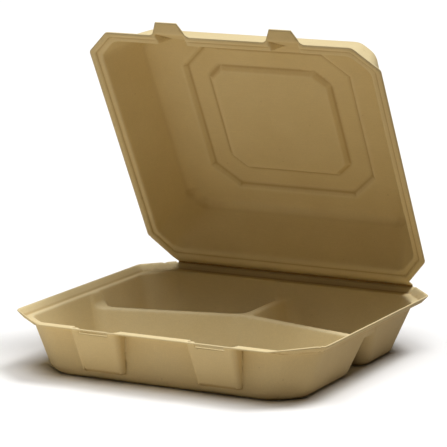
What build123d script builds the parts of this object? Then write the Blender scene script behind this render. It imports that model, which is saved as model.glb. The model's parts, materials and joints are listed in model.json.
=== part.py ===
"""Moulded-fibre clamshell container: a three-compartment tray and a lid on a living hinge.

Millimetres, +Z up. X runs along the hinge, the hinge is at +Y and the locking tabs are at -Y.
The origin is on the resting plane, under the middle of the tray. The lid stands part open.
"""
import os
from math import atan2, cos, degrees, radians, sin, tan

from build123d import *

# Driving dimensions of the moulded sheet
sheet = 0.9
overrun = 4.0
lid_open_angle = 58.0

# Tray rim: an upturned lip at the sides and back, a flat band in front, a ledge inside both
tray_width = 230.0
tray_depth = 228.0
front_cut_x = 27.5
front_cut_y = 25.5
back_cut_x = 20.0
back_cut_y = 24.5
ledge_height = 35.3
lip_rise = 4.7
lip_reach = 4.2
band_width = 8.5
band_drop_reach = 1.0
rim_front_bend = 16.0
rim_corner_radius = 12.0
rim_back_radius = 4.0

# Tray walls: how far the ledge's inner edge lies inside the rim, and the draft of each wall
front_wall_inset = 15.0
side_wall_inset = 8.7
back_wall_inset = 12.5
cut_wall_inset = 11.0
back_cut_wall_inset = 13.0
front_wall_draft = 9.0
side_wall_draft = 20.5
back_wall_draft = 21.0
cut_wall_draft = 19.0
back_cut_wall_draft = 24.0
wall_corner_radius = 19.0
floor_radius = 5.5

# Dividers between the three compartments
divider_height = 25.0
divider_width = 5.0
divider_draft = 21.0
divider_corner_radius = 11.0
ridge_bevel = 1.0
junction_y = 32.0
arm_end_x = 93.0
arm_end_y = 8.0
saddle_setback = 0.8
saddle_margin = 24.0
saddle_radius = 6.0

# Latch: bump-outs with slots in the tray's front wall, tabs on the lid
latch_spacing = 85.0
bump_width = 35.5
bump_foot_width = 32.0
bump_edge_margin = 1.0
bump_foot_height = 6.0
bump_foot_inset = 15.5
bump_radius = 3.0
slot_width = 21.0
slot_room_below = 0.5
slot_room_above = 0.35
band_cover = 1.0

# Lid rim and body, as it lies when closed
lid_width = 218.4
lid_length = 207.8
lid_back_gap = 9.1
lid_front_cut_x = 17.5
lid_front_cut_y = 17.5
lid_back_cut_x = 16.0
lid_back_cut_y = 20.5
lid_seat_clearance = 0.25
lid_flange = 7.5
lid_step_inset = 3.6
lid_step = 1.3
lid_step_reach = 0.7
lid_rim_radius = 5.0
lid_hinge_radius = 2.0
lid_top_height = 75.6
lid_front_draft = 25.0
lid_side_draft = 19.5
lid_back_draft = 19.5
lid_front_cut_draft = 27.0
lid_back_cut_draft = 23.0
lid_corner_radius = 12.0
lid_top_radius = 9.0

# Raised ring on the lid's top panel
ring_size = 130.0
ring_cut = 19.0
ring_rise = 3.0
ring_draft = 45.0
panel_size = 87.0
panel_cut = 9.0

# Lid tabs
tab_reach = 11.2
tab_tip_width = 16.0
tab_root_width = 26.0
tab_root_radius = 4.0
tab_bump_width = 24.0
tab_bump_top_width = 14.0
tab_bump_reach = 2.4
tab_bump_rise = 24.0
tab_bump_top_inset = 22.0

# Living hinge
hinge_clearance = 0.2
hinge_width = 186.0

# Values worked out from the dimensions above
half_width = tray_width / 2
half_depth = tray_depth / 2
rim_height = ledge_height + lip_rise
slot_bottom = ledge_height - slot_room_below
slot_top = ledge_height + lid_seat_clearance + sheet + slot_room_above
band_height = slot_top + band_cover
bump_rise = band_height - bump_foot_height
bump_slope = (bump_foot_inset - bump_edge_margin) / bump_rise
bump_taper = (bump_width - bump_foot_width) / 2 / bump_rise
lip_angle = degrees(atan2(lip_rise, lip_reach))
lip_thickness = sheet / sin(radians(lip_angle))
latch_centres = (-latch_spacing / 2, latch_spacing / 2)
lip_run = Vector(0, lip_reach, lip_rise).normalized()
lip_normal = Vector(0, -lip_rise, lip_reach).normalized()
crease = Vector(0, half_depth - lip_thickness, rim_height) + lip_normal * hinge_clearance
crease_y, crease_z = crease.Y, crease.Z
lid_seat = ledge_height + lid_seat_clearance - crease_z
lid_top = lid_top_height - crease_z
lid_back_y = half_depth - lid_back_gap - crease_y
lid_front_y = lid_back_y - lid_length
lid_tilt = radians(lid_open_angle)

tray_frame = Plane.XY
lid_frame = Plane(
    origin=crease,
    x_dir=(1, 0, 0),
    z_dir=(0, sin(lid_tilt), cos(lid_tilt)),
)


# Outlines and drafted blocks
def octagon(width, back, front, front_cut, back_cut):
    """Anticlockwise outline of a rectangle with cut corners, starting along the front."""
    side = width / 2
    front_x, front_y = front_cut
    back_x, back_y = back_cut
    return [
        (-side + front_x, front),
        (side - front_x, front),
        (side, front + front_y),
        (side, back - back_y),
        (side - back_x, back),
        (-side + back_x, back),
        (-side, back - back_y),
        (-side, front + front_y),
    ]


def inset(outline, distances):
    """Move each side of an anticlockwise outline inward by its own distance."""
    lines = []
    for start, end, distance in zip(outline, outline[1:] + outline[:1], distances):
        along = (Vector(*end) - Vector(*start)).normalized()
        inward = Vector(-along.Y, along.X)
        lines.append((Vector(*start) + inward * distance, along))
    corners = []
    for (first, along), (second, across) in zip(lines[-1:] + lines[:-1], lines):
        between = second - first
        travel = (between.X * across.Y - between.Y * across.X) / (along.X * across.Y - along.Y * across.X)
        corner = first + along * travel
        corners.append((corner.X, corner.Y))
    return corners


def drafted_block(frame, mouth, mouth_height, end, end_height, corner_radii=None, end_radius=0):
    """A block with flat drafted sides between two like outlines, its corners and its end rounded."""
    low, high = sorted((mouth_height, end_height))
    reach = max(abs(value) for point in mouth + end for value in point)
    mouth_corners = [frame.offset(mouth_height).from_local_coords((x, y, 0)) for x, y in mouth]
    end_corners = [frame.offset(end_height).from_local_coords((x, y, 0)) for x, y in end]
    with BuildPart() as block:
        with BuildSketch(frame.offset(low)):
            Rectangle(2 * reach, 2 * reach)
        extrude(amount=high - low)
        for start, stop, foot in zip(mouth_corners, mouth_corners[1:] + mouth_corners[:1], end_corners):
            along, down = stop - start, foot - start
            outward = along.cross(down) if end_height > mouth_height else down.cross(along)
            split(bisect_by=Plane(origin=start, x_dir=along, z_dir=-outward), keep=Keep.TOP)
        if corner_radii:
            for radius in sorted(set(corner_radii) - {0}):
                seams = [
                    Edge.make_line(start, stop)
                    for start, stop, own in zip(mouth_corners, end_corners, corner_radii)
                    if own == radius
                ]
                fillet([block.edges().sort_by_distance(seam.center())[0] for seam in seams], radius)
        if end_radius:
            upward = Axis(frame.origin, frame.z_dir)
            end_faces = block.faces().sort_by(upward)
            end_face = end_faces[0] if end_height < mouth_height else end_faces[-1]
            fillet(end_face.edges(), end_radius)
    return block.part


def joined(blocks):
    """One solid from blocks that overlap."""
    with BuildPart() as form:
        for block in blocks:
            add(block)
    return form.part


def spread(front, side, back, front_cut, back_cut):
    """One value for each side of an octagon, in its order."""
    return [front, front_cut, side, back_cut, back, back_cut, side, front_cut]


def bend_front(outline, radius):
    """Cut an octagon's two front corners with a short side that touches an arc of this radius."""
    corners = []
    for index in (0, 1):
        corner = Vector(*outline[index])
        before = (Vector(*outline[index - 1]) - corner).normalized()
        after = (Vector(*outline[index + 1]) - corner).normalized()
        turn = radians(180 - before.get_angle(after))
        setback = radius * (tan(turn / 2) - tan(turn / 4))
        corners += [corner + before * setback, corner + after * setback]
    left_cut, left_front, right_front, right_cut = [(corner.X, corner.Y) for corner in corners]
    return [left_front, right_front, right_cut] + outline[2:] + [left_cut]


# Tray: the outer form of the sheet, less the inner form that the food sees
rim_outline = octagon(
    tray_width, half_depth, -half_depth, (front_cut_x, front_cut_y), (back_cut_x, back_cut_y)
)
bent_outline = bend_front(rim_outline, rim_front_bend)
ledge_outline = inset(
    rim_outline,
    spread(front_wall_inset, side_wall_inset, back_wall_inset, cut_wall_inset, back_cut_wall_inset),
)


def rim_blocks(skin):
    """The rim's two levels; skin is the sheet's thickness for the outer form and 0 for the inner."""
    lip_skin = 0 if skin else lip_thickness
    low, middle = ledge_height - skin, band_height - skin

    def lip_inset(height):
        return (rim_height - height) * lip_reach / lip_rise + lip_skin

    def level(height, front):
        lip = lip_inset(height)
        bend = (front + lip) / 2
        return inset(bent_outline, [front, bend, lip, lip, lip, lip, lip, lip, lip, bend])

    band_foot = band_width + band_drop_reach - skin
    band_edge = 0 if skin else -overrun
    side_radii = [rim_corner_radius, rim_corner_radius, rim_back_radius]
    radii = [0, 0, 0] + side_radii + side_radii[::-1] + [0]
    lower = drafted_block(
        tray_frame, level(middle, band_width - skin), middle, level(low, band_foot), low, radii
    )
    upper = drafted_block(
        tray_frame, level(rim_height, band_edge), rim_height, level(middle, band_edge), middle, radii
    )
    return [lower, upper]


def pocket_block(outline, drafts, radii, skin):
    """One compartment, from the ledge down to its floor."""
    floor = sheet - skin
    depth = ledge_height - floor
    mouth = inset(outline, [-skin] * len(outline))
    end = inset(outline, [depth * tan(radians(draft)) - skin for draft in drafts])
    return drafted_block(tray_frame, mouth, ledge_height, end, floor, radii, floor_radius + skin)


def compartments(skin):
    """The front compartment and the two behind the dividers."""
    (front_x, front_y), (side_x, cut_y) = ledge_outline[1], ledge_outline[2]
    (_, back_cut_start), (back_x, back_y) = ledge_outline[3], ledge_outline[4]
    slope = (arm_end_y - junction_y) / arm_end_x
    half_top = divider_width / 2 - (ledge_height - divider_height) * tan(radians(divider_draft))
    shift = half_top / cos(atan2(junction_y - arm_end_y, arm_end_x))
    arm_front, arm_back = junction_y - shift, junction_y + shift
    wall_front, wall_back = arm_front + slope * side_x, arm_back + slope * side_x
    front = [
        (-front_x, front_y),
        (front_x, front_y),
        (side_x, cut_y),
        (side_x, wall_front),
        (0, arm_front),
        (-side_x, wall_front),
        (-side_x, cut_y),
    ]
    front_drafts = [
        front_wall_draft,
        cut_wall_draft,
        side_wall_draft,
        divider_draft,
        divider_draft,
        side_wall_draft,
        cut_wall_draft,
    ]
    outer, inner = wall_corner_radius, divider_corner_radius
    front_radii = [outer, outer, outer, inner, outer, inner, outer]
    right = [
        (half_top, arm_back + slope * half_top),
        (side_x, wall_back),
        (side_x, back_cut_start),
        (back_x, back_y),
        (half_top, back_y),
    ]
    right_drafts = [
        divider_draft,
        side_wall_draft,
        back_cut_wall_draft,
        back_wall_draft,
        divider_draft,
    ]
    right_radii = [inner, inner, outer, outer, inner]
    left = [(-x, y) for x, y in [right[0]] + right[:0:-1]]
    left_drafts = right_drafts[::-1]
    left_radii = [right_radii[0]] + right_radii[:0:-1]
    return [
        pocket_block(front, front_drafts, front_radii, skin),
        pocket_block(right, right_drafts, right_radii, skin),
        pocket_block(left, left_drafts, left_radii, skin),
    ]


def saddle_blocks(skin):
    """The space over the dividers, which rises to the walls where the dividers end."""
    side_x, back_y = ledge_outline[2][0], ledge_outline[4][1]
    low = divider_height - skin
    depth = ledge_height - low
    setback = saddle_setback - skin
    side = depth * tan(radians(side_wall_draft)) + setback
    back = depth * tan(radians(back_wall_draft)) + setback
    arm_back = junction_y + saddle_margin
    arms = [(-side_x, -saddle_margin), (side_x, -saddle_margin), (side_x, arm_back), (-side_x, arm_back)]
    stem = [
        (-saddle_margin, arm_end_y),
        (saddle_margin, arm_end_y),
        (saddle_margin, back_y),
        (-saddle_margin, back_y),
    ]
    radius = saddle_radius + skin
    blocks = []
    for outline, mouth, end in (
        (arms, [0, setback, 0, setback], [0, side, 0, side]),
        (stem, [0, 0, setback, 0], [0, 0, back, 0]),
    ):
        mouth_outline, end_outline = inset(outline, mouth), inset(outline, end)
        blocks.append(
            drafted_block(tray_frame, mouth_outline, ledge_height, end_outline, low, None, radius)
        )
    return blocks


def bump_block(centre, skin):
    """One bump-out of the front wall, which the lid's tab drops into."""
    top = band_height - skin if skin else band_height + overrun
    foot = bump_foot_height if skin else bump_foot_height + sheet
    thickness = 0 if skin else sheet

    def level(height):
        half = bump_width / 2 - (band_height - height) * bump_taper - thickness
        face = -half_depth + bump_edge_margin + (band_height - height) * bump_slope + thickness
        rear = face + front_wall_inset
        return [
            (centre - half, face),
            (centre + half, face),
            (centre + half, rear),
            (centre - half, rear),
        ]

    radius = bump_radius + skin
    return drafted_block(tray_frame, level(top), top, level(foot), foot, [radius, radius, 0, 0])


def tray_form(skin):
    blocks = rim_blocks(skin) + compartments(skin) + saddle_blocks(skin)
    return joined(blocks + [bump_block(centre, skin) for centre in latch_centres])


tray_outer = tray_form(sheet)
tray_inner = tray_form(0)

with BuildPart() as base_tray:
    add(tray_outer)
    add(tray_inner, mode=Mode.SUBTRACT)
    # The lip runs down to the front band along the two front corners
    with BuildSketch(Plane.YZ.offset(-half_width - overrun)):
        with BuildLine():
            lip_end = -half_depth + front_cut_y
            Polyline(
                (lip_end, rim_height),
                (-half_depth, band_height),
                (-half_depth - overrun, band_height),
                (-half_depth - overrun, rim_height + overrun),
                (lip_end, rim_height + overrun),
                close=True,
            )
        make_face()
    extrude(amount=tray_width + 2 * overrun, mode=Mode.SUBTRACT)
    # Slots for the lid's tabs
    with BuildSketch(Plane.XZ.offset(half_depth + overrun)):
        with Locations(*[(centre, (slot_bottom + slot_top) / 2) for centre in latch_centres]):
            Rectangle(slot_width, slot_top - slot_bottom)
    slot_depth = bump_edge_margin + (band_height - slot_bottom) * bump_slope + 2 * sheet
    extrude(amount=-(overrun + slot_depth), mode=Mode.SUBTRACT)

    # The back lip stops square to its own slope, just short of the crease
    with BuildSketch(Plane.YZ.offset(-half_width - overrun)):
        with BuildLine():
            trim_start = crease - lip_run * hinge_clearance
            trim_corners = [
                trim_start + lip_normal * overrun,
                trim_start - lip_normal * overrun,
                trim_start - lip_normal * overrun + lip_run * overrun,
                trim_start + lip_normal * overrun + lip_run * overrun,
            ]
            Polyline(*[(corner.Y, corner.Z) for corner in trim_corners], close=True)
        make_face()
    extrude(amount=tray_width + 2 * overrun, mode=Mode.SUBTRACT)
    # The dividers' ridges are bevelled along their sides, not where they run up into the walls
    ridge_edges = base_tray.edges().filter_by_position(Axis.Z, divider_height, divider_height)
    straight_edges = ridge_edges.filter_by(GeomType.LINE)
    run_ups = [edge for edge in straight_edges if edge.length < saddle_margin]
    chamfer([edge for edge in ridge_edges if edge not in run_ups], ridge_bevel)

base_tray.part.label = "base_tray"

# Lid: drawn as it lies when closed, in a frame at the crease that is tipped open
lid_outline = octagon(
    lid_width,
    lid_back_y,
    lid_front_y,
    (lid_front_cut_x, lid_front_cut_y),
    (lid_back_cut_x, lid_back_cut_y),
)


def lid_body_block(skin):
    """The lid's hollow body, from the flange up to the top panel."""
    top = lid_top + skin
    rise = top - lid_seat
    flange = lid_flange - skin
    mouth = inset(lid_outline, [flange] * len(lid_outline))
    drafts = spread(
        lid_front_draft, lid_side_draft, lid_back_draft, lid_front_cut_draft, lid_back_cut_draft
    )
    end = inset(lid_outline, [flange + rise * tan(radians(draft)) for draft in drafts])
    radii = [lid_corner_radius + skin] * len(lid_outline)
    return drafted_block(lid_frame, mouth, lid_seat, end, top, radii, lid_top_radius + skin)


def lid_step_block(skin):
    """The inner part of the flange stands a step above the outer strip."""
    top = lid_seat + lid_step + skin
    count = len(lid_outline)
    mouth = inset(lid_outline, [lid_step_inset - skin] * count)
    end = inset(lid_outline, [lid_step_inset + lid_step_reach - skin] * count)
    return drafted_block(lid_frame, mouth, lid_seat, end, top, [lid_rim_radius] * count)


def ring_block(skin):
    """The ring that stands up from the top panel, round a middle that stays low."""
    middle = (lid_back_y + lid_front_y) / 2
    base, top = lid_top - overrun / 2, lid_top + ring_rise + skin
    slope = tan(radians(ring_draft))
    spare, lean = overrun / 2 * slope, ring_rise * slope
    outlines = []
    for size, cut, grow in ((ring_size, ring_cut, skin), (panel_size, panel_cut, -skin)):
        half = size / 2
        outline = octagon(size, middle + half, middle - half, (cut, cut), (cut, cut))
        outlines.append(inset(outline, [-grow] * len(outline)))
    wide, narrow = outlines
    count = len(wide)
    outer = drafted_block(lid_frame, inset(wide, [-spare] * count), base, inset(wide, [lean] * count), top)
    inner = drafted_block(
        lid_frame, inset(narrow, [spare] * count), base, inset(narrow, [-lean] * count), top
    )
    with BuildPart() as ring:
        add(outer)
        add(inner, mode=Mode.SUBTRACT)
    return ring.part


def tab_bump_block(centre, skin):
    """The bump-out of the lid's front wall that carries one tab."""
    base, top = lid_seat, lid_seat + tab_bump_rise
    thickness = 0 if skin else sheet

    def level(width, face):
        half = width / 2 - thickness
        rear = face + lid_flange + lid_corner_radius
        return [
            (centre - half, face + thickness),
            (centre + half, face + thickness),
            (centre + half, rear),
            (centre - half, rear),
        ]

    mouth = level(tab_bump_width, lid_front_y - tab_bump_reach)
    end = level(tab_bump_top_width, lid_front_y + tab_bump_top_inset)
    return drafted_block(lid_frame, mouth, base, end, top)


def lid_form(skin):
    blocks = [lid_step_block(skin), lid_body_block(skin), ring_block(skin)]
    return joined(blocks + [tab_bump_block(centre, skin) for centre in latch_centres])


lid_outer = lid_form(sheet)
lid_inner = lid_form(0)

with BuildPart() as lid:
    # Flange with the tongues of the two tabs
    with BuildSketch(lid_frame.offset(lid_seat)) as flange:
        with BuildLine():
            outline = lid_outline[:1]
            roots = []
            for centre in latch_centres:
                left_root = (centre - tab_root_width / 2, lid_front_y)
                right_root = (centre + tab_root_width / 2, lid_front_y)
                left_tip = (centre - tab_tip_width / 2, lid_front_y - tab_reach)
                right_tip = (centre + tab_tip_width / 2, lid_front_y - tab_reach)
                outline += [left_root, left_tip, right_tip, right_root]
                roots += [left_root, right_root]
            Polyline(*outline, *lid_outline[1:], close=True)
        make_face()
        for places, radius in (
            (lid_outline[:4] + lid_outline[6:], lid_rim_radius),
            (lid_outline[4:6], lid_hinge_radius),
            (roots, tab_root_radius),
        ):
            fillet([flange.vertices().sort_by_distance(place)[0] for place in places], radius)
    extrude(amount=sheet)
    add(lid_outer)
    add(lid_inner, mode=Mode.SUBTRACT)
    # Hinge web from the crease down to the back of the flange
    web_sketch_plane = Plane(origin=crease, x_dir=lid_frame.y_dir, z_dir=(1, 0, 0))
    with BuildSketch(web_sketch_plane.offset(-hinge_width / 2)):
        with BuildLine():
            web_run = Vector(lid_back_y, lid_seat).normalized()
            web_normal = Vector(web_run.Y, -web_run.X)
            lower = (web_run + web_normal) * hinge_clearance
            upper = lower + web_normal * sheet
            Polyline(
                (lower.X, lower.Y),
                (lid_back_y, lid_seat),
                (lid_back_y, lid_seat + sheet),
                (upper.X, upper.Y),
                close=True,
            )
        make_face()
    extrude(amount=hinge_width)

lid.part.label = "lid"

os.makedirs("parts", exist_ok=True)
for piece in (base_tray, lid):
    export_step(piece.part, f"parts/{piece.part.label}.step")
    print(piece.part.label, len(piece.part.solids()), round(piece.part.volume))
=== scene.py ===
# %% [markdown]
# # A moulded-fibre clamshell, dressed for its portrait
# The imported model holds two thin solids, a tray and a lid, that share one hinge. They carry the sizes.
# This lesson presses softer sheets over them, mixes a fibre finish, and sets up a quiet studio. Lengths are
# in metres, and MM turns millimetres into them.

# %% Load the frame
import json
from math import cos, radians, sin

import bmesh
import bpy
from mathutils import Matrix, Vector


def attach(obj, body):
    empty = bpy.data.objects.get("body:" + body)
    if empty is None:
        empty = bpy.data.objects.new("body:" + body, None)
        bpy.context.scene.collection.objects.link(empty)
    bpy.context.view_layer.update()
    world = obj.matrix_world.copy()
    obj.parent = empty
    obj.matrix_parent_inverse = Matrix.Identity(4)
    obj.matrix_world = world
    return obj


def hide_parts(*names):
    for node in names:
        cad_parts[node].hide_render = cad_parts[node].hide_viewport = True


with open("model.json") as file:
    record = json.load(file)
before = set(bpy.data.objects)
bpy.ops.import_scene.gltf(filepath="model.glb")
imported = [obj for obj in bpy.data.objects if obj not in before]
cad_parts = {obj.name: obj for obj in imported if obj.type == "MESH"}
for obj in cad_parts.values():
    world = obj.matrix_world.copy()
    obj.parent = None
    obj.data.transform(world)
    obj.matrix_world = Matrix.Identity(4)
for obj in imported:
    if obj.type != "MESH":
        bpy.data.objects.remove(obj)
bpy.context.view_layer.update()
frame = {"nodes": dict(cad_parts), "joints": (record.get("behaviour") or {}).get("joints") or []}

hinge = frame["joints"][0]
crease = Vector(hinge["pos_m"])

# %% [markdown]
# ## Camera
# The photograph was taken with a long lens from a low stand, to the right of the front. A long lens keeps
# the rim's edges almost parallel. The angles were found by matching the corners of both rims.

# %% Camera
MM = 0.001
VIEW_AZIMUTH = radians(25.67)
VIEW_ELEVATION = radians(10.33)
VIEW_ROLL = radians(0.67)
VIEW_DISTANCE = 1579.67 * MM
VIEW_TARGET = Vector((62.68, -135.39, 121.87)) * MM
VIEW_REACH = 50
FOCAL_LENGTH = 204.67


def in_scene(label, data):
    """A new object in the scene that holds the given data."""
    item = bpy.data.objects.new(label, data)
    bpy.context.scene.collection.objects.link(item)
    return item


back = Vector((
    sin(VIEW_AZIMUTH) * cos(VIEW_ELEVATION),
    -cos(VIEW_AZIMUTH) * cos(VIEW_ELEVATION),
    sin(VIEW_ELEVATION),
))
right = Vector((cos(VIEW_AZIMUTH), sin(VIEW_AZIMUTH), 0))
upward = back.cross(right)
turned_right = right * cos(VIEW_ROLL) + upward * sin(VIEW_ROLL)
turned_up = upward * cos(VIEW_ROLL) - right * sin(VIEW_ROLL)

camera_data = bpy.data.cameras.new("studio_camera")
camera_data.lens = FOCAL_LENGTH
camera_data.clip_end = VIEW_REACH
camera = in_scene("studio_camera", camera_data)
placing = Matrix((turned_right, turned_up, back)).transposed().to_4x4()
placing.translation = VIEW_TARGET + back * VIEW_DISTANCE
camera.matrix_world = placing
bpy.context.scene.camera = camera
print("camera at", tuple(round(value, 3) for value in placing.translation))

# %% [markdown]
# ## From a solid to a single skin
# A pressed fibre sheet has two sides that run alongside each other. Softening both would thin the sheet,
# so only the side that faces the food is kept here, and thickness comes back at the end. Every wall leans
# back a little so that the sheet leaves its mould, so that side is simply all that looks out of the mould.

# %% Where the two pieces lie
SHEET = 0.9 * MM
LID_ANGLE = radians(-hinge["range_deg"][0])
lid_frame = Matrix((
    (1, 0, 0),
    (0, cos(LID_ANGLE), sin(LID_ANGLE)),
    (0, -sin(LID_ANGLE), cos(LID_ANGLE)),
)).to_4x4()
lid_to_world = Matrix.Translation(crease) @ lid_frame
tray_to_world = Matrix.Identity(4)
print("lid stands open by", -hinge["range_deg"][0], "degrees")

# %% Keep the food side
MERGE_DISTANCE = 0.001 * MM
FACING_SHARE = 0.02
FLAT_ANGLE = radians(0.4)
LEDGE_HEIGHT = 35.3 * MM
BAND_HEIGHT = 37.8 * MM
HAIR = 0.03 * MM
LEVEL_SHARE = 0.98
BACKWARD_SHARE = 0.5


def food_side(node_name, to_world, facing, keep):
    """A bmesh of the node's faces that look along facing, in the piece's own level frame."""
    skin = bmesh.new()
    skin.from_mesh(frame["nodes"][node_name].data)
    skin.transform(to_world.inverted())
    bmesh.ops.remove_doubles(skin, verts=skin.verts, dist=MERGE_DISTANCE)
    bmesh.ops.dissolve_degenerate(skin, edges=skin.edges, dist=MERGE_DISTANCE)
    skin.normal_update()
    extra = [
        face
        for face in skin.faces
        if face.normal.dot(facing) < FACING_SHARE or not keep(face.normal, face.calc_center_median())
    ]
    bmesh.ops.delete(skin, geom=extra, context="FACES")
    bmesh.ops.dissolve_limit(skin, angle_limit=FLAT_ANGLE, verts=skin.verts, edges=skin.edges)
    return skin


def no_cut_edge(normal, middle):
    """The lip's cut edge and the slots' sills face up too, and are no part of the skin."""
    on_lip = normal.z > LEVEL_SHARE and middle.z > BAND_HEIGHT + HAIR
    on_sill = normal.z > LEVEL_SHARE and LEDGE_HEIGHT - SHEET < middle.z < LEDGE_HEIGHT - HAIR
    at_crease = normal.y > BACKWARD_SHARE and middle.y > crease.y - SHEET
    return not (on_lip or on_sill or at_crease)


def any_face(normal, middle):
    """Keep every face that looks the right way."""
    return True


tray_skin = food_side("base_tray", tray_to_world, Vector((0, 0, 1)), no_cut_edge)
lid_skin = food_side("lid", lid_to_world, Vector((0, 0, -1)), any_face)
print("tray faces", len(tray_skin.faces), "lid faces", len(lid_skin.faces))

# %% [markdown]
# A blur works evenly only on an even mesh, and the skins still have large faces. Cutting them along parallel
# planes keeps every edge of the form where it is. Counting the open rims before and after shows whether the
# cuts have torn anything.

# %% Slice the skins
GRID = 2.0 * MM
LARGE_SHARE = 1.3
SNAP_SHARE = 0.03
FIRST_CUT_SHARE = 0.5


def open_loops(skin):
    """How many closed rims the skin has: its outline and its slots."""
    rim_edges = {edge for edge in skin.edges if edge.is_boundary}
    loops = 0
    while rim_edges:
        loops += 1
        waiting = [rim_edges.pop()]
        while waiting:
            edge = waiting.pop()
            for vert in edge.verts:
                for other in vert.link_edges:
                    if other in rim_edges:
                        rim_edges.remove(other)
                        waiting.append(other)
    return loops


def slice_evenly(skin, spacing):
    """Cut the skin's large faces along three sets of parallel planes, so that they become small and even."""
    for axis in range(3):
        values = [vert.co[axis] for vert in skin.verts]
        low, high = min(values), max(values)
        geometry = set()
        for face in skin.faces:
            reach = [vert.co[axis] for vert in face.verts]
            if max(reach) - min(reach) > LARGE_SHARE * spacing:
                geometry.update([face, *face.edges, *face.verts])
        for step in range(int((high - low) / spacing)):
            point, normal = Vector((0, 0, 0)), Vector((0, 0, 0))
            point[axis] = low + spacing * (step + FIRST_CUT_SHARE)
            normal[axis] = 1
            cut = bmesh.ops.bisect_plane(
                skin, geom=list(geometry), dist=SNAP_SHARE * spacing, plane_co=point, plane_no=normal
            )
            geometry = cut["geom"]


for name, skin in (("tray", tray_skin), ("lid", lid_skin)):
    print(name, "open rims", open_loops(skin))
    slice_evenly(skin, GRID)
    print(name, "sliced into", len(skin.faces), "open rims", open_loops(skin))

# %% [markdown]
# The sheet gets its thickness square to its surface, so the upper edge of each slot will come out lower
# than a level cut would. Lifting that edge first keeps the slot open for the lid's tab. Softening fills the
# corner inside the tray's lip a little, so the lid is drawn in by a hair to drop in there as before.

# %% Room for the closed lid
SLOT_TOP = 36.8 * MM
SLOT_LIFT = 0.55 * MM
LID_SHARE = 0.997
lifted = 0
for vert in tray_skin.verts:
    if vert.is_boundary and vert.co.y < 0 and abs(vert.co.z - SLOT_TOP) < HAIR:
        vert.co.z += SLOT_LIFT
        lifted += 1
bmesh.ops.scale(lid_skin, vec=(LID_SHARE, 1, 1), verts=lid_skin.verts)
print("points lifted along the slots", lifted, "lid drawn in to", LID_SHARE)

# %% [markdown]
# ## Pressing the sheets
# Wet fibre never fills a mould's corners quite sharply, and it dries with a slight wave. Both follow a rule,
# so a geometry node tree does them. The tree has named inputs, so that the amount of each can be tried out.

# %% The pressing tree
PRESSING_INPUTS = (
    ("Softening", "NodeSocketInt", 1),
    ("Softness", "NodeSocketFloat", 0.5),
    ("Edge Reach", "NodeSocketInt", 5),
    ("Wave Height", "NodeSocketFloat", 0.25 * MM),
    ("Wave Scale", "NodeSocketFloat", 22.0),
)


def node(tree, kind, **settings):
    """Add a node and set its properties."""
    made = tree.nodes.new(kind)
    for label, value in settings.items():
        setattr(made, label, value)
    return made


def shape_tree(label, inputs):
    """A geometry node tree with named inputs and a finish, and its first and last nodes."""
    tree = bpy.data.node_groups.new(label, "GeometryNodeTree")
    tree.is_modifier = True
    sockets = tree.interface
    sockets.new_socket("Geometry", in_out="INPUT", socket_type="NodeSocketGeometry")
    for name, kind, value in inputs:
        sockets.new_socket(name, in_out="INPUT", socket_type=kind).default_value = value
    sockets.new_socket("Finish", in_out="INPUT", socket_type="NodeSocketMaterial")
    sockets.new_socket("Geometry", in_out="OUTPUT", socket_type="NodeSocketGeometry")
    return tree, node(tree, "NodeGroupInput"), node(tree, "NodeGroupOutput")


def end_tree(tree, start, shape, end):
    """Shade a shape smooth, make its instances real and give it the finish."""
    smooth = node(tree, "GeometryNodeSetShadeSmooth")
    whole = node(tree, "GeometryNodeRealizeInstances")
    coat = node(tree, "GeometryNodeSetMaterial")
    link = tree.links.new
    link(shape, smooth.inputs["Geometry"])
    link(smooth.outputs["Geometry"], whole.inputs["Geometry"])
    link(whole.outputs["Geometry"], coat.inputs["Geometry"])
    link(start.outputs["Finish"], coat.inputs["Material"])
    link(coat.outputs["Geometry"], end.inputs["Geometry"])


pressing, press_start, press_end = shape_tree("pressed_sheet", PRESSING_INPUTS)
press_link = pressing.links.new
position = node(pressing, "GeometryNodeInputPosition")
normal = node(pressing, "GeometryNodeInputNormal")
print("pressing tree takes", [label for label, kind, value in PRESSING_INPUTS])

# %% [markdown]
# A wide blur moves nothing: how far it would have lifted each point is stored, and tells the finish where
# the edges and the hollows are, for its pale edges and its painted shade in the hollows. A narrow blur then
# moves the points. Its weight is zero where only one face meets an edge, which holds all but a few of the
# rim's points in place.

# %% Edge lift and softening
RIM_FACE_COUNT = 1

wide_blur = node(pressing, "GeometryNodeBlurAttribute", data_type="FLOAT_VECTOR")
moved = node(pressing, "ShaderNodeVectorMath", operation="SUBTRACT")
lift = node(pressing, "ShaderNodeVectorMath", operation="DOT_PRODUCT")
keep_lift = node(pressing, "GeometryNodeStoreNamedAttribute", data_type="FLOAT", domain="POINT")
keep_lift.inputs["Name"].default_value = "edge_lift"
press_link(position.outputs[0], wide_blur.inputs["Value"])
press_link(press_start.outputs["Edge Reach"], wide_blur.inputs["Iterations"])
press_link(position.outputs[0], moved.inputs[0])
press_link(wide_blur.outputs[0], moved.inputs[1])
press_link(moved.outputs[0], lift.inputs[0])
press_link(normal.outputs[0], lift.inputs[1])
press_link(press_start.outputs["Geometry"], keep_lift.inputs["Geometry"])
press_link(lift.outputs["Value"], keep_lift.inputs["Value"])

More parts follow.
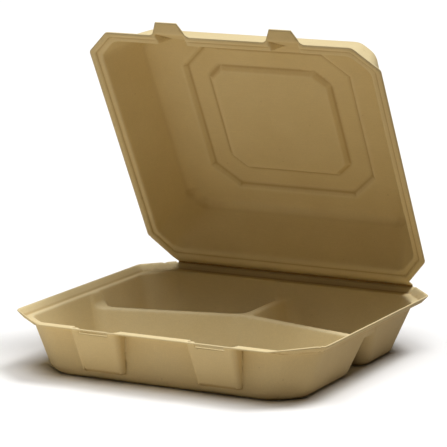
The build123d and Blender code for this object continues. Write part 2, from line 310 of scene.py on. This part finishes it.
neighbours = node(pressing, "GeometryNodeInputMeshEdgeNeighbors")
rim = node(pressing, "FunctionNodeCompare", data_type="INT", operation="EQUAL")
rim.inputs[3].default_value = RIM_FACE_COUNT
free = node(pressing, "FunctionNodeBooleanMath", operation="NOT")
pull = node(pressing, "ShaderNodeMath", operation="MULTIPLY")
blur = node(pressing, "GeometryNodeBlurAttribute", data_type="FLOAT_VECTOR")
soften = node(pressing, "GeometryNodeSetPosition")
press_link(neighbours.outputs["Face Count"], rim.inputs[2])
press_link(rim.outputs[0], free.inputs[0])
press_link(free.outputs[0], pull.inputs[0])
press_link(press_start.outputs["Softness"], pull.inputs[1])
press_link(position.outputs[0], blur.inputs["Value"])
press_link(press_start.outputs["Softening"], blur.inputs["Iterations"])
press_link(pull.outputs[0], blur.inputs["Weight"])
press_link(keep_lift.outputs["Geometry"], soften.inputs["Geometry"])
press_link(blur.outputs[0], soften.inputs["Position"])
print("nodes so far", len(pressing.nodes))

# %% [markdown]
# The wave lifts each point a little along its normal by a noise. The noise lies around a half, so a half is
# taken off first, and the sheet rises about as much as it sinks.

# %% Wave
WAVE_DETAIL = 2
NOISE_MIDDLE = 0.5

wave = node(pressing, "ShaderNodeTexNoise")
wave.inputs["Detail"].default_value = WAVE_DETAIL
centred = node(pressing, "ShaderNodeMath", operation="SUBTRACT")
centred.inputs[1].default_value = NOISE_MIDDLE
wave_size = node(pressing, "ShaderNodeMath", operation="MULTIPLY")
wave_offset = node(pressing, "ShaderNodeVectorMath", operation="SCALE")
wavy = node(pressing, "GeometryNodeSetPosition")
press_link(position.outputs[0], wave.inputs["Vector"])
press_link(press_start.outputs["Wave Scale"], wave.inputs["Scale"])
press_link(wave.outputs[0], centred.inputs[0])
press_link(centred.outputs[0], wave_size.inputs[0])
press_link(press_start.outputs["Wave Height"], wave_size.inputs[1])
press_link(normal.outputs[0], wave_offset.inputs[0])
press_link(wave_size.outputs[0], wave_offset.inputs["Scale"])
press_link(soften.outputs["Geometry"], wavy.inputs["Geometry"])
press_link(wave_offset.outputs[0], wavy.inputs["Offset"])
end_tree(pressing, press_start, wavy.outputs["Geometry"], press_end)
print("pressing tree has", len(pressing.nodes), "nodes")

# %% [markdown]
# ## The fibre finish
# Unbleached cane fibre dries to a matt tan. Close up it is a felt of pale strands with a few dark flecks,
# and a step back it is softly mottled. Three stretched noises crossed over each other give the felt,
# because one alone would look like brushed metal.

# %% Felt
MOTTLE_RATE = 34
MOTTLE_DETAIL = 5
MOTTLE_RANGE = (0.3, 0.7)
STRAND_DETAIL = 1
FELT_RANGE = (0.5, 0.75)
FELT_TONES = (0.97, 1.03)
STRAND_TURNS_AND_RATES = (
    ((0.3, 0.5, 0.2), (150, 1500, 1500)),
    ((0.9, -0.4, 1.7), (1500, 170, 1500)),
    ((-0.6, 1.1, 2.6), (1500, 1500, 160)),
)


def ranged(tree, value, given, wanted=(0, 1)):
    """Carry a value over from one range to another, and hold it at the ends."""
    carried = node(tree, "ShaderNodeMapRange")
    for label, limit in zip(("From Min", "From Max", "To Min", "To Max"), (*given, *wanted)):
        carried.inputs[label].default_value = limit
    tree.links.new(value, carried.inputs["Value"])
    return carried.outputs[0]


def mixed(tree, share, first, second):
    """Go from the first colour to the second by a share; a colour is a tuple or a node's output."""
    mix = node(tree, "ShaderNodeMix", data_type="RGBA")
    tree.links.new(share, mix.inputs[0])
    for colour, socket in ((first, mix.inputs[6]), (second, mix.inputs[7])):
        if isinstance(colour, tuple):
            socket.default_value = colour
        else:
            tree.links.new(colour, socket)
    return mix.outputs[2]


def larger(tree, first, second):
    """The larger of two values."""
    either = node(tree, "ShaderNodeMath", operation="MAXIMUM")
    tree.links.new(first, either.inputs[0])
    tree.links.new(second, either.inputs[1])
    return either.outputs[0]


def crossed_strands(tree, place):
    """Noises stretched along different directions, with the highest on top."""
    felt = None
    for turn, rates in STRAND_TURNS_AND_RATES:
        turned = node(tree, "ShaderNodeMapping")
        turned.inputs["Rotation"].default_value = turn
        turned.inputs["Scale"].default_value = rates
        strand = node(tree, "ShaderNodeTexNoise")
        strand.inputs["Scale"].default_value = 1
        strand.inputs["Detail"].default_value = STRAND_DETAIL
        tree.links.new(place, turned.inputs["Vector"])
        tree.links.new(turned.outputs[0], strand.inputs["Vector"])
        felt = strand.outputs[0] if felt is None else larger(tree, felt, strand.outputs[0])
    return felt


def felted_ground(tree, place, strands, tone, tone_dark):
    """A softly mottled tone that is a little lighter where strands lie on top."""
    mottle = node(tree, "ShaderNodeTexNoise")
    mottle.inputs["Scale"].default_value = MOTTLE_RATE
    mottle.inputs["Detail"].default_value = MOTTLE_DETAIL
    tree.links.new(place, mottle.inputs["Vector"])
    ground = mixed(tree, ranged(tree, mottle.outputs[0], MOTTLE_RANGE), tone_dark, tone)
    felted = node(tree, "ShaderNodeVectorMath", operation="SCALE")
    tree.links.new(ground, felted.inputs[0])
    tree.links.new(ranged(tree, strands, FELT_RANGE, FELT_TONES), felted.inputs["Scale"])
    return felted.outputs[0]


print("felt of", len(STRAND_TURNS_AND_RATES), "crossed noises")

# %% [markdown]
# Pressed edges are paler, partly from rubbed fibre and partly as a painted highlight, and hollows are
# painted browner as shade, both as the stored lift tells. An edge of the food side is a hollow of the
# outside, so the outside has a finish of its own that reads the lift the other way round. The flecks sit in
# the cells of a
# Voronoi pattern, and only cells that draw a high number hold one.

# %% Edges, painted hollow shade and flecks
# A pale tint for edges: partly rubbed fibre, partly a painted highlight.
PALE_EDGE_WEAR_AND_HIGHLIGHT = (0.88, 0.76, 0.50, 1)
# A brown tint for hollows: painted shade where less light reaches.
HOLLOW_PAINTED_SHADE = (0.44, 0.29, 0.11, 1)
EDGE_STRENGTH = 0.35
FULL_LIFT = 0.55 * MM
FIRST_LIFT_SHARE = 0.1
FLECK = (0.42, 0.29, 0.14, 1)
FLECK_RATE = 210
FLECK_DRAWS = (0.8, 1.0)
FLECK_REACH = 0.16
FLECK_STRENGTH = 0.22


def pale_edges_and_painted_hollow_shade(tree, colour, side, hollow_shade_strength):
    """Tint pale at edges (wear and painted highlight), brown in hollows (painted shade), as the stored lift
    says.
    """
    lift_read = node(tree, "ShaderNodeAttribute", attribute_name="edge_lift")
    for target, full_lift, strength in (
        (PALE_EDGE_WEAR_AND_HIGHLIGHT, side * FULL_LIFT, EDGE_STRENGTH),
        (HOLLOW_PAINTED_SHADE, -side * FULL_LIFT, hollow_shade_strength),
    ):
        lifts = (FIRST_LIFT_SHARE * full_lift, full_lift)
        share = ranged(tree, lift_read.outputs["Fac"], lifts, (0, strength))
        colour = mixed(tree, share, colour, target)
    return colour


def flecked(tree, place, colour):
    """Scatter faint flecks over a colour."""
    cells = node(tree, "ShaderNodeTexVoronoi")
    cells.inputs["Scale"].default_value = FLECK_RATE
    tree.links.new(place, cells.inputs["Vector"])
    draw = node(tree, "ShaderNodeSeparateColor")
    tree.links.new(cells.outputs["Color"], draw.inputs[0])
    speck = node(tree, "ShaderNodeMath", operation="LESS_THAN")
    tree.links.new(cells.outputs["Distance"], speck.inputs[0])
    tree.links.new(ranged(tree, draw.outputs[0], FLECK_DRAWS, (0, FLECK_REACH)), speck.inputs[1])
    faint = node(tree, "ShaderNodeMath", operation="MULTIPLY")
    faint.inputs[1].default_value = FLECK_STRENGTH
    tree.links.new(speck.outputs[0], faint.inputs[0])
    return mixed(tree, faint.outputs[0], colour, FLECK)


print("lift that gives the full tint", FULL_LIFT, "m")

# %% [markdown]
# One function mixes all finishes, so that they differ only in tone, roughness and how they read the lift. A
# trimmed edge shows torn, paler fibre, lightened further as a painted highlight, and the fold at the hinge
# is painted brownest, as the shade in its groove.

# %% Fibre finishes
FIBRE = (0.78, 0.647, 0.375, 1)
FIBRE_DARK = (0.745, 0.607, 0.335, 1)
# The trimmed edge's pale tones are torn fibre, made paler still as a painted highlight.
TORN_AND_HIGHLIT = (0.92, 0.84, 0.65, 1)
TORN_AND_HIGHLIT_DARK = (0.88, 0.79, 0.59, 1)
# The fold's dark brown is painted shade, for the shade in the crease's groove.
FOLD_PAINTED_SHADE = (0.40, 0.26, 0.10, 1)
FOLD_PAINTED_SHADE_DARK = (0.36, 0.23, 0.08, 1)
FOOD_SIDE = 1
OUTSIDE = -1
SPECULAR = 0.3
STRAND_ROUGH_RANGE = (0.4, 0.8)
STRAND_ROUGHNESS = 0.15
STRAND_BUMP = 0.25
STRAND_HEIGHT = 0.15 * MM


def fibre_finish(label, tone, tone_dark, roughness, side, hollow_shade_strength):
    """A felt of crossed strands over a mottled ground, with paler edges, painted hollow shade and flecks."""
    finish = bpy.data.materials.new(label)
    finish.use_nodes = True
    tree = finish.node_tree
    shader = tree.nodes["Principled BSDF"]
    shader.inputs["Specular IOR Level"].default_value = SPECULAR
    place = node(tree, "ShaderNodeTexCoord").outputs["Object"]
    strands = crossed_strands(tree, place)
    colour = felted_ground(tree, place, strands, tone, tone_dark)
    colour = pale_edges_and_painted_hollow_shade(tree, colour, side, hollow_shade_strength)
    tree.links.new(flecked(tree, place, colour), shader.inputs["Base Color"])
    rough = ranged(tree, strands, STRAND_ROUGH_RANGE, (roughness, roughness + STRAND_ROUGHNESS))
    tree.links.new(rough, shader.inputs["Roughness"])
    bump = node(tree, "ShaderNodeBump")
    bump.inputs["Strength"].default_value = STRAND_BUMP
    bump.inputs["Distance"].default_value = STRAND_HEIGHT
    tree.links.new(strands, bump.inputs["Height"])
    tree.links.new(bump.outputs[0], shader.inputs["Normal"])
    return finish


# Each finish darkens its hollows as painted shade, by the strength given last.
fibre = fibre_finish(
    "cane_fibre", FIBRE, FIBRE_DARK, roughness=0.62, side=FOOD_SIDE, hollow_shade_strength=0.6
)
# Finish of the cut rim: torn fibre, lightened further as a painted highlight.
trimmed_and_highlit = fibre_finish(
    "trimmed_edge_painted_highlight", TORN_AND_HIGHLIT, TORN_AND_HIGHLIT_DARK, roughness=0.8, side=FOOD_SIDE, hollow_shade_strength=0.3
)
outside = fibre_finish(
    "screen_side_fibre", FIBRE, FIBRE_DARK, roughness=0.68, side=OUTSIDE, hollow_shade_strength=0.12
)
# Finish of the crease bead, darkened as painted shade.
fold_shade_finish = fibre_finish(
    "fold_painted_shade", FOLD_PAINTED_SHADE, FOLD_PAINTED_SHADE_DARK, roughness=0.7, side=FOOD_SIDE, hollow_shade_strength=0
)
print("finishes", fibre.name, trimmed_and_highlit.name, outside.name, fold_shade_finish.name)

# %% [markdown]
# ## The two sheets
# Each skin goes through the pressing tree, gets its thickness back on the outside, and becomes a plain mesh.
# The thickness could be modelled in the tree too, but a Solidify modifier also gives the cut rim and the
# outside their own material slots.

# %% Press the sheets
RIM_SLOT = 1
OUTSIDE_SLOT = 2


def add_tree(item, tree, finish):
    """Put a tree on an object, with its finish set by the socket's identifier."""
    modifier = item.modifiers.new(tree.name, "NODES")
    modifier.node_group = tree
    for socket in tree.interface.items_tree:
        if socket.in_out == "INPUT" and socket.name == "Finish":
            modifier[socket.identifier] = finish


def plain_mesh(label, rough):
    """What an object's modifiers make of it, as a mesh; the object itself goes."""
    bpy.context.view_layer.update()
    graph = bpy.context.evaluated_depsgraph_get()
    mesh = bpy.data.meshes.new_from_object(rough.evaluated_get(graph))
    bpy.data.objects.remove(rough)
    mesh.name = label
    return mesh


def pressed_sheet(label, skin, to_world):
    """One finished sheet from a sliced skin."""
    skin.transform(to_world)
    mesh = bpy.data.meshes.new(label + "_skin")
    skin.to_mesh(mesh)
    skin.free()
    rough_sheet = in_scene(label + "_skin", mesh)
    add_tree(rough_sheet, pressing, fibre)
    thicken = rough_sheet.modifiers.new("thicken", "SOLIDIFY")
    thicken.thickness = SHEET
    thicken.offset = -1
    thicken.use_even_offset = False
    thicken.use_quality_normals = True
    thicken.material_offset_rim = RIM_SLOT
    thicken.material_offset = OUTSIDE_SLOT
    final = plain_mesh(label, rough_sheet)
    final.materials.clear()
    for finish in (fibre, trimmed_and_highlit, outside):
        final.materials.append(finish)
    final.calc_loop_triangles()
    print(label, "triangles", len(final.loop_triangles))
    return in_scene(label, final)


tray = pressed_sheet("pressed_tray", tray_skin, tray_to_world)
lid = pressed_sheet("pressed_lid", lid_skin, lid_to_world)
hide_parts("base_tray")
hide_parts("lid")
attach(tray, "tray")
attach(lid, "lid")

# %% [markdown]
# ## The crease
# Between tray and lid the real sheet is pressed into a thin rounded fold. A bead that runs along the hinge's
# own axis looks the same however far the lid turns, so it needs no bending. It is swept by geometry
# nodes along a line, with a slightly uneven radius and ends that taper off. The fold is the deepest hollow
# between the sheets, so its finish is painted dark brown as the shade in its groove.

# %% The line of the crease
CREASE_LENGTH = 185.6 * MM
CREASE_RADIUS = 1.08 * MM
TAPER_SHARE = 0.02
HALF_SHARE = 0.5
LINE_POINTS = 150

folding, fold_start, fold_end = shape_tree("crease_bead", (
    ("Length", "NodeSocketFloat", CREASE_LENGTH),
    ("Radius", "NodeSocketFloat", CREASE_RADIUS),
    ("Taper", "NodeSocketFloat", TAPER_SHARE),
))
fold_link = folding.links.new
half_length = node(folding, "ShaderNodeMath", operation="MULTIPLY")
half_length.inputs[1].default_value = HALF_SHARE
far = node(folding, "ShaderNodeCombineXYZ")
near = node(folding, "ShaderNodeVectorMath", operation="SCALE")
near.inputs["Scale"].default_value = -1
line = node(folding, "GeometryNodeCurvePrimitiveLine")
points = node(folding, "GeometryNodeResampleCurve")
points.inputs["Count"].default_value = LINE_POINTS
fold_link(fold_start.outputs["Length"], half_length.inputs[0])
fold_link(half_length.outputs[0], far.inputs["X"])
fold_link(far.outputs[0], near.inputs[0])
fold_link(near.outputs[0], line.inputs["Start"])
fold_link(far.outputs[0], line.inputs["End"])
fold_link(line.outputs[0], points.inputs["Curve"])
print("crease is", CREASE_LENGTH, "m long, with", LINE_POINTS, "points")

# %% Sweep the bead
END_SIZE_SHARE = 0.35
UNEVEN_RATE = 160
UNEVEN_SHARES = (0.9, 1.05)
RING_POINTS = 14

along = node(folding, "GeometryNodeSplineParameter")
mirrored = node(folding, "ShaderNodeMath", operation="PINGPONG")
mirrored.inputs[1].default_value = HALF_SHARE
tapered = node(folding, "ShaderNodeMapRange", interpolation_type="SMOOTHSTEP")
tapered.inputs["To Min"].default_value = END_SIZE_SHARE
uneven = node(folding, "ShaderNodeTexNoise")
uneven.inputs["Scale"].default_value = UNEVEN_RATE
size = node(folding, "ShaderNodeMath", operation="MULTIPLY")
ring = node(folding, "GeometryNodeCurvePrimitiveCircle")
ring.inputs["Resolution"].default_value = RING_POINTS
sweep = node(folding, "GeometryNodeCurveToMesh")
sweep.inputs["Fill Caps"].default_value = True
fold_link(along.outputs["Factor"], mirrored.inputs[0])
fold_link(mirrored.outputs[0], tapered.inputs["Value"])
fold_link(fold_start.outputs["Taper"], tapered.inputs["From Max"])
fold_link(tapered.outputs[0], size.inputs[0])
fold_link(ranged(folding, uneven.outputs[0], (0, 1), UNEVEN_SHARES), size.inputs[1])
fold_link(fold_start.outputs["Radius"], ring.inputs["Radius"])
fold_link(points.outputs[0], sweep.inputs["Curve"])
fold_link(ring.outputs[0], sweep.inputs["Profile Curve"])
fold_link(size.outputs[0], sweep.inputs["Scale"])
end_tree(folding, fold_start, sweep.outputs[0], fold_end)

holder = in_scene("crease_line", bpy.data.meshes.new("crease_line"))
# The bead takes the finish that is painted dark as shade.
add_tree(holder, folding, fold_shade_finish)
bead_mesh = plain_mesh("crease_bead", holder)
bead_mesh.transform(Matrix.Translation(crease))
bead = in_scene("crease_bead", bead_mesh)
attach(bead, "tray")
print("crease bead faces", len(bead_mesh.polygons))

# %% [markdown]
# ## The floor
# The object stands on a white sweep. The front wall and the lid's inside are lit by what the sweep sends
# back, which is warm, and weaker further away. The floor's material therefore has two sides: a white paper
# for the camera and for mirror-like surfaces, and one that darkens outwards for the light that bounces back.

# %% Floor
FLOOR_SIZE = 14.0
SEEN_PAPER = (0.90, 0.90, 0.90, 1)
NEAR_BOUNCE = (0.93, 0.83, 0.67, 1)
FAR_BOUNCE = (0.27, 0.215, 0.15, 1)
BOUNCE_CENTRE = (-0.14, -0.24, 0)
BOUNCE_REACHES = (0.1, 0.44)

floor_mesh = bpy.data.meshes.new("studio_floor")
half = FLOOR_SIZE / 2
floor_mesh.from_pydata(
    [(-half, -half, 0), (half, -half, 0), (half, half, 0), (-half, half, 0)], [], [(0, 1, 2, 3)]
)
floor = in_scene("studio_floor", floor_mesh)


def sweep_paper(label):
    """White where it is seen, and warm and darker outwards where it only sends light on."""
    paper = bpy.data.materials.new(label)
    paper.use_nodes = True
    tree = paper.node_tree
    tree.nodes.remove(tree.nodes["Principled BSDF"])
    seen = node(tree, "ShaderNodeBsdfDiffuse")
    seen.inputs["Color"].default_value = SEEN_PAPER
    bounce = node(tree, "ShaderNodeBsdfDiffuse")
    spot = node(tree, "ShaderNodeTexCoord")
    distance = node(tree, "ShaderNodeVectorMath", operation="DISTANCE")
    distance.inputs[1].default_value = BOUNCE_CENTRE
    tree.links.new(spot.outputs["Object"], distance.inputs[0])
    falloff = ranged(tree, distance.outputs["Value"], BOUNCE_REACHES)
    tree.links.new(mixed(tree, falloff, NEAR_BOUNCE, FAR_BOUNCE), bounce.inputs["Color"])
    ray = node(tree, "ShaderNodeLightPath")
    mirror_ray = larger(tree, ray.outputs["Is Glossy Ray"], ray.outputs["Is Transmission Ray"])
    sides = node(tree, "ShaderNodeMixShader")
    tree.links.new(larger(tree, ray.outputs["Is Camera Ray"], mirror_ray), sides.inputs[0])
    tree.links.new(bounce.outputs[0], sides.inputs[1])
    tree.links.new(seen.outputs[0], sides.inputs[2])
    tree.links.new(sides.outputs[0], tree.nodes["Material Output"].inputs["Surface"])
    return paper


floor_mesh.materials.append(sweep_paper("white_sweep"))
print("floor", FLOOR_SIZE, "m wide")

# %% [markdown]
# ## Light
# The light in the photograph is soft and comes from overhead. Here that is one softbox a little behind,
# which the open lid keeps off the rear pockets, and one a little in front. A weak low fill at the left
# models the panel of the lid. Sun lamps with a wide angle stand in for the softboxes, because their light is
# equally strong everywhere and doesn't depend on how far off they are.

# %% World and lamps
ROOM_COLOUR = (1, 0.9, 0.75, 1)
ROOM_STRENGTH = 0.015

world = bpy.data.worlds.new("pale_room")
world.use_nodes = True
bpy.context.scene.world = world
sky = world.node_tree.nodes["Background"]
sky.inputs["Color"].default_value = ROOM_COLOUR
sky.inputs["Strength"].default_value = ROOM_STRENGTH


def soft_lamp(label, shines_from, energy, spread):
    """A lamp whose light comes from one direction, softened by its spread in degrees."""
    data = bpy.data.lights.new(label, "SUN")
    data.energy = energy
    data.angle = radians(spread)
    lamp = in_scene(label, data)
    lamp.rotation_euler = (-Vector(shines_from)).to_track_quat("-Z", "Y").to_euler()


soft_lamp("rear_softbox", shines_from=(0.3, 0.3, 1.0), energy=2.05, spread=24)
soft_lamp("front_softbox", shines_from=(0.0, -0.2, 1.0), energy=1.85, spread=40)
soft_lamp("low_left_fill", shines_from=(-0.8, -1.0, 0.12), energy=0.1, spread=30)
print("lamps", [item.name for item in bpy.data.lights])

# %% [markdown]
# ## Finish
# The plain view transform shows colours about as they are written.

# %% Finish
bpy.context.scene.view_settings.view_transform = "Standard"
